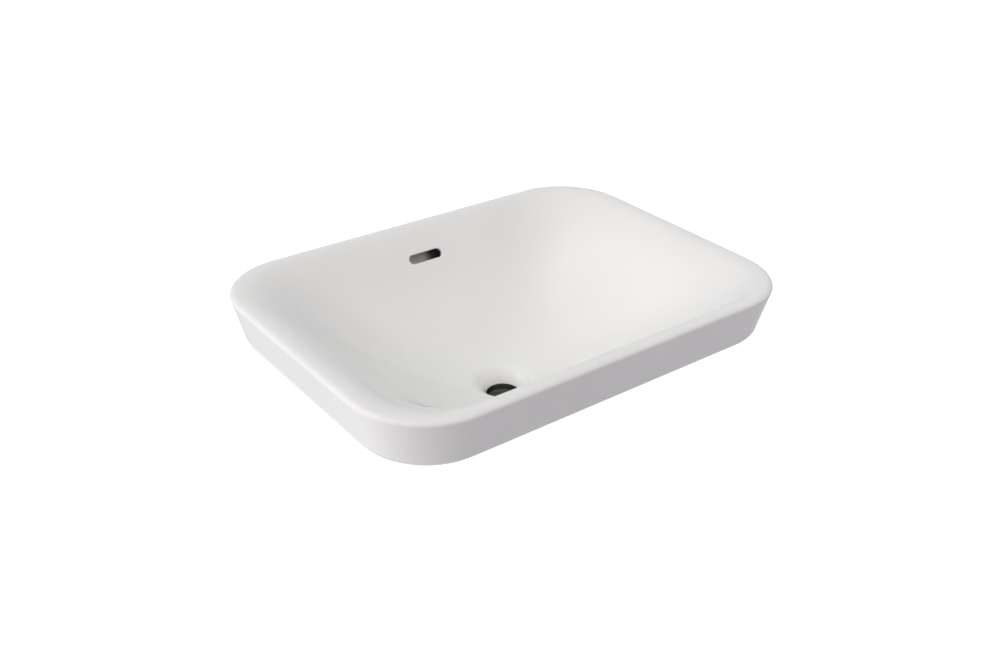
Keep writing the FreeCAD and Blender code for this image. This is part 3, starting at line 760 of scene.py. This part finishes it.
def makeWaste():
    # grid round the axis: radius = outline - depth of the thread, whose phase is height / pitch -
    # angle / turn; the overflow ports are windows through the inner and outer rows, walled between
    w = waste
    outline, threadShare, innerStart, outerStart = wasteRows()
    columns = w["columns"]
    angle = np.arange(columns) * fullTurn / columns
    phase = outline[:, 1:] / w["threadPitch"] - angle / fullTurn
    valley = np.clip(w["threadSlope"] * np.abs((phase % 1) - 0.5) - w["threadCrest"], 0, 1)
    r = outline[:, :1] - threadShare[:, None] * w["threadDepth"] * valley
    z = outline[:, 1:] + 0 * angle
    points = np.stack([r * np.sin(angle), r * np.cos(angle), z], axis=-1).reshape(-1, 3)
    quads = gridFaces(len(outline), columns, True)
    kept = np.ones(quads.shape[:2], bool)
    last = w["portRows"] - 1
    walls = []
    for port in range(w["portCount"]):
        middle = port * columns // w["portCount"]
        first, end = middle - w["portColumns"], middle + w["portColumns"]
        for start in (innerStart, outerStart):
            kept[start:start + last, np.arange(first, end) % columns] = False
        loop = [(0, j) for j in range(first, end)] + [(i, end) for i in range(last)]
        loop += [(last, j) for j in range(end, first, -1)] + [(i, first) for i in range(last, 0, -1)]
        i, j = np.array(loop).T
        inner = (innerStart + i) * columns + j % columns
        outer = (outerStart + last - i) * columns + j % columns
        walls.append(np.stack([inner, np.roll(inner, -1), np.roll(outer, -1), outer], axis=1))
    faces = quads[kept].tolist() + np.vstack(walls).tolist()
    bottom, top = w["bridgeBottom"], w["bridgeTop"]
    bore, hubR = w["screwRadius"], w["hubRadius"]
    hubOutline = [(bore, bottom), (hubR, bottom), (hubR, top), (bore, top)]
    hub = turnedShell(softCorners(hubOutline, w["hubSoft"]), w["hubColumns"])
    turns = np.arange(w["spokeCount"]) * fullTurn / w["spokeCount"]
    spokes = [barShell(w["spokeWidth"], bottom, top, hubR - w["spokeInHub"],
                       w["throatRadius"] + w["spokeInWall"], turn) for turn in turns]
    shells = [(points, faces), hub] + spokes
    # the tube's finish carries the painted light and shade of its throat
    makePiece("waste_tube", "root", "waste_body", shells, throatPaintedLightAndShade, sharpAngle=35)


def hexShell(acrossFlats, bottom, top, bore, chamfer, edge, columns=144, chamferRows=7):
    # six flats: radius = half the width / cos of the angle from the flat's middle, held in by the
    # chamfer's cone
    angle = np.arange(columns) * fullTurn / columns
    fromFlat = (angle + math.pi / 6) % (math.pi / 3) - math.pi / 6
    flat = acrossFlats / 2 / np.cos(fromFlat)
    corner = acrossFlats / math.sqrt(3)
    rows = [(bore + edge, bottom, None), (bore, bottom + edge, None), (bore, top - edge, None)]
    rows += [(bore + edge, top, None), (None, top, edge), (None, top - edge, 0)]
    rows += [(None, z, 0) for z in np.linspace(bottom + chamfer, bottom, chamferRows)]
    points = []
    for radius, z, inset in rows:
        cone = corner - chamfer + (z - bottom)
        r = np.full(columns, radius) if inset is None else np.minimum(flat - inset, cone)
        points.append(np.stack([r * np.sin(angle), r * np.cos(angle), np.full(columns, z)], axis=-1))
    return np.vstack(points), gridFaces(len(rows), columns, True).reshape(-1, 4).tolist()


nuts = dict(backFlats=52.0, backBore=21.0, backChamfer=2.5, backEdge=0.5,
            lockFlats=10.0, lockBore=3.0, lockChamfer=0.8, lockEdge=0.2, lockColumns=72)


def makeNuts():
    n = nuts
    back = hexShell(n["backFlats"], low("back_nut"), high("back_nut"), n["backBore"],
                    n["backChamfer"], n["backEdge"])
    makePiece("back_nut_hex", "root", "back_nut", [back], brass, sharpAngle=25)
    lock = hexShell(n["lockFlats"], low("lock_nut"), high("lock_nut"), n["lockBore"],
                    n["lockChamfer"], n["lockEdge"], n["lockColumns"])
    makePiece("lock_nut_hex", "plug", "lock_nut", [lock], brass, sharpAngle=25)


rings = dict(gasketNose=22.4, gasketNoseHeight=3.0, threadBore=21.0, sealBore=12.5,
             capEdge=2.0, capHole=3.0, crownSteps=20, sleeveBore=6.4, sleeveFloor=3.0,
             sleeveHole=2.0, guideBore=3.3, plungerBore=3.0)


def makeRings():
    r = rings

    def plainRing(node, body, bore, material, soft, columns=96):
        bottom, top, reach = extent(node)
        outline = [(bore, bottom), (reach, bottom), (reach, top), (bore, top)]
        makeTurned(node, body, outline, material, soft, columns)

    bottom, top, reach = extent("lower_gasket")
    seat, bore, nose = top - r["gasketNoseHeight"], r["threadBore"], r["gasketNose"]
    makeTurned("lower_gasket", "root", [
        (bore, bottom), (reach, bottom), (reach, seat), (nose, seat), (nose, top), (bore, top)],
        rubber, soft=0.9)
    plainRing("friction_washer", "root", r["threadBore"], nylon, soft=0.3)
    # the plug's cap: a dome that falls as the square of the radius, on a straight edge
    bottom, top, reach = extent("plug_cap")
    edgeTop, recess, hole = bottom + r["capEdge"], bottom + r["capEdge"] / 2, r["capHole"]
    steps = np.linspace(1, 0, r["crownSteps"])
    crown = [(reach * s, edgeTop + (top - edgeTop) * (1 - s * s)) for s in steps]
    makeTurned("plug_cap", "plug", [
        (0, recess), (hole, recess), (hole, bottom), (reach, bottom)] + crown,
        gunmetal, soft=0.45, columns=128)
    plainRing("plug_seal", "plug", r["sealBore"], rubber, soft=0.7)
    bottom, top, reach = extent("cartridge_sleeve")
    hole, bore, floorTop = r["sleeveHole"], r["sleeveBore"], bottom + r["sleeveFloor"]
    makeTurned("cartridge_sleeve", "root", [
        (hole, bottom), (reach, bottom), (reach, top), (bore, top), (bore, floorTop),
        (hole, floorTop)], nylon, soft=0.25, columns=64)
    plainRing("guide_cap", "root", r["guideBore"], nylon, soft=0.5, columns=64)
    plainRing("plunger", "plug", r["plungerBore"], brass, soft=0.25, columns=64)
    plainRing("plug_post", "plug", 0, brass, soft=0.3, columns=48)


coil = dict(wire=0.7, turns=4, turnSteps=28, wireSteps=12)


def coilShell():
    # wire swept along a helix: centre = (R cos a, R sin a, bottom + pitch a), ring in the radial and
    # upright plane
    c = coil
    bottom, top, reach = extent("return_spring")
    half = c["wire"] / 2
    turn = np.linspace(0, c["turns"], c["turns"] * c["turnSteps"] + 1)[:, None]
    height = bottom + half + (top - bottom - c["wire"]) * turn / c["turns"]
    around = np.arange(c["wireSteps"]) * fullTurn / c["wireSteps"]
    r = reach - half + half * np.cos(around)
    angle = fullTurn * turn
    points = np.stack([r * np.cos(angle), r * np.sin(angle), height + half * np.sin(around)], axis=-1)
    rows, count = len(turn), c["wireSteps"]
    faces = gridFaces(rows, count).reshape(-1, 4).tolist()
    faces += [list(range(count)), list(range((rows - 1) * count, rows * count))]
    return points.reshape(-1, 3), faces, bottom, top


def makeCoil():
    # the coil at rest, not attached to any body
    points, faces, bottom, top = coilShell()
    mesh = bpy.data.meshes.new("return_spring_coil")
    mesh.from_pydata((points * mm).tolist(), [], faces)
    mesh.shade_smooth()
    mesh.materials.append(steel)
    piece = bpy.data.objects.new("return_spring_coil", mesh)
    bpy.context.scene.collection.objects.link(piece)
    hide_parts("return_spring")
    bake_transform(piece)


makeDishes()
makeWaste()
makeNuts()
makeRings()
makeCoil()
print("waste: pieces made")


# Stage: a white floor under the part, open from below, soft light from the world and the
# photograph's camera

stage = dict(floorGap=2.0, floorHalf=6.0, floorColour=(0.9, 0.9, 0.9), floorRoughness=0.9,
             floorGlow=1.25, shadowShare=0.14, mirrorShare=0.6, base=(0.150, 0.145, 0.185))


def makeFloor():
    # the camera sees mostly its glow, and the rest keeps the shadow; from below it is clear
    half, z = stage["floorHalf"], cadLow.z - stage["floorGap"] * mm
    corners = [(-half, -half, z), (half, -half, z), (half, half, z), (-half, half, z)]
    mesh = bpy.data.meshes.new("floor")
    mesh.from_pydata(corners, [], [(0, 1, 2, 3)])
    material = bpy.data.materials.new("paleFloor")
    material.use_nodes = True
    tree = material.node_tree
    shader = tree.nodes["Principled BSDF"]
    shader.inputs["Base Color"].default_value = (*stage["floorColour"], 1)
    shader.inputs["Roughness"].default_value = stage["floorRoughness"]
    white = tree.nodes.new("ShaderNodeEmission")
    white.inputs["Strength"].default_value = stage["floorGlow"]
    clear = tree.nodes.new("ShaderNodeBsdfTransparent")
    seen = tree.nodes.new("ShaderNodeLightPath")
    sides = tree.nodes.new("ShaderNodeNewGeometry")
    share = tree.nodes.new("ShaderNodeMath")
    share.operation = "MULTIPLY"
    share.inputs[1].default_value = 1 - stage["shadowShare"]
    lit, below = tree.nodes.new("ShaderNodeMixShader"), tree.nodes.new("ShaderNodeMixShader")
    tree.links.new(seen.outputs["Is Camera Ray"], share.inputs[0])
    tree.links.new(share.outputs[0], lit.inputs[0])
    tree.links.new(shader.outputs[0], lit.inputs[1])
    tree.links.new(white.outputs[0], lit.inputs[2])
    tree.links.new(sides.outputs["Backfacing"], below.inputs[0])
    tree.links.new(lit.outputs[0], below.inputs[1])
    tree.links.new(clear.outputs[0], below.inputs[2])
    tree.links.new(below.outputs[0], tree.nodes["Material Output"].inputs["Surface"])
    mesh.materials.append(material)
    floor = bpy.data.objects.new("floor", mesh)
    bpy.context.scene.collection.objects.link(floor)
    floor.visible_diffuse = floor.visible_glossy = floor.visible_shadow = False


def makeWorld():
    # light from direction d: base + sum of colour * max(0, d . aim)^power; the camera sees plain
    # white, and mirrored rays see the same white in part
    world = bpy.data.worlds.new("studio")
    world.use_nodes = True
    tree = world.node_tree
    place = tree.nodes.new("ShaderNodeTexCoord")
    total = None
    for glow in glows:
        facing = tree.nodes.new("ShaderNodeVectorMath")
        facing.operation = "DOT_PRODUCT"
        facing.inputs[1].default_value = Vector(glow["aim"]).normalized()
        tree.links.new(place.outputs["Generated"], facing.inputs[0])
        value = facing.outputs["Value"]
        for operation, amount in (("MAXIMUM", 0.0), ("POWER", glow["power"])):
            step = tree.nodes.new("ShaderNodeMath")
            step.operation = operation
            step.inputs[1].default_value = amount
            tree.links.new(value, step.inputs[0])
            value = step.outputs[0]
        add = tree.nodes.new("ShaderNodeVectorMath")
        add.operation = "MULTIPLY_ADD"
        add.inputs[1].default_value = glow["colour"]
        add.inputs[2].default_value = stage["base"]
        tree.links.new(value, add.inputs[0])
        if total:
            tree.links.new(total, add.inputs[2])
        total = add.outputs[0]
    light, white = tree.nodes["Background"], tree.nodes.new("ShaderNodeBackground")
    tree.links.new(total, light.inputs["Color"])
    white.inputs["Color"].default_value = (1, 1, 1, 1)
    seen = tree.nodes.new("ShaderNodeLightPath")
    through, mirrored = tree.nodes.new("ShaderNodeMath"), tree.nodes.new("ShaderNodeMath")
    through.operation, mirrored.operation = "MAXIMUM", "MULTIPLY_ADD"
    tree.links.new(seen.outputs["Is Camera Ray"], through.inputs[0])
    tree.links.new(seen.outputs["Is Transmission Ray"], through.inputs[1])
    tree.links.new(seen.outputs["Is Glossy Ray"], mirrored.inputs[0])
    mirrored.inputs[1].default_value = stage["mirrorShare"]
    mirrored.use_clamp = True
    tree.links.new(through.outputs[0], mirrored.inputs[2])
    pick = tree.nodes.new("ShaderNodeMixShader")
    tree.links.new(mirrored.outputs[0], pick.inputs[0])
    tree.links.new(light.outputs[0], pick.inputs[1])
    tree.links.new(white.outputs[0], pick.inputs[2])
    tree.links.new(pick.outputs[0], tree.nodes["World Output"].inputs["Surface"])
    bpy.context.scene.world = world


glows = [
    dict(aim=(-0.4, 0.1, 0.9), power=16.0, colour=(0.42, 0.93, 0.58)),      # high window
    dict(aim=(-0.6, 0.45, 0.66), power=16.0, colour=(3.87, 3.47, 3.47)),    # window, back left
    dict(aim=(0.5, -0.5, 0.7), power=6.0, colour=(1.28, 1.26, 1.20)),       # ceiling, front right
    dict(aim=(-0.5, -0.5, 0.7), power=6.0, colour=(0.94, 0.79, 0.78)),      # ceiling, front left
    dict(aim=(-0.7, 0.7, 0), power=6.0, colour=(1.04, 1.09, 1.17)),         # wall, back left
    dict(aim=(-0.7, 0, -0.7), power=3.0, colour=(1.28, 1.27, 1.17)),        # bright table, left
]


view = dict(eye=(-728.6, -927.8, 651.6), azimuth=-37.87, elevation=28.83, roll=1.09,
            lens=40.94, sensor=36.0)


def makeCamera():
    # back points from the object to the eye; the roll turns the picture about it
    a, e, r = (math.radians(view[key]) for key in ("azimuth", "elevation", "roll"))
    back = Vector((math.sin(a) * math.cos(e), -math.cos(a) * math.cos(e), math.sin(e)))
    level = Vector((0, 0, 1)).cross(back).normalized()
    upright = back.cross(level)
    across = level * math.cos(r) + upright * math.sin(r)
    up = upright * math.cos(r) - level * math.sin(r)
    data = bpy.data.cameras.new("camera")
    data.sensor_width, data.lens = view["sensor"], view["lens"]
    camera = bpy.data.objects.new("camera", data)
    turned = Matrix((across, up, back)).transposed().to_4x4()
    camera.matrix_world = Matrix.Translation(Vector(view["eye"]) * mm) @ turned
    bpy.context.scene.collection.objects.link(camera)
    bpy.context.scene.camera = camera


makeFloor()
makeWorld()
makeCamera()
bpy.context.scene.view_settings.view_transform = "Standard"
print("stage: %d glows" % len(glows))

# two hidden pieces keep their solids and only take a finish
for node, finish in (("latch_rotor", acetal), ("cartridge_screw", steel)):
    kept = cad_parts[node]
    kept.data.materials.clear()
    kept.data.materials.append(finish)
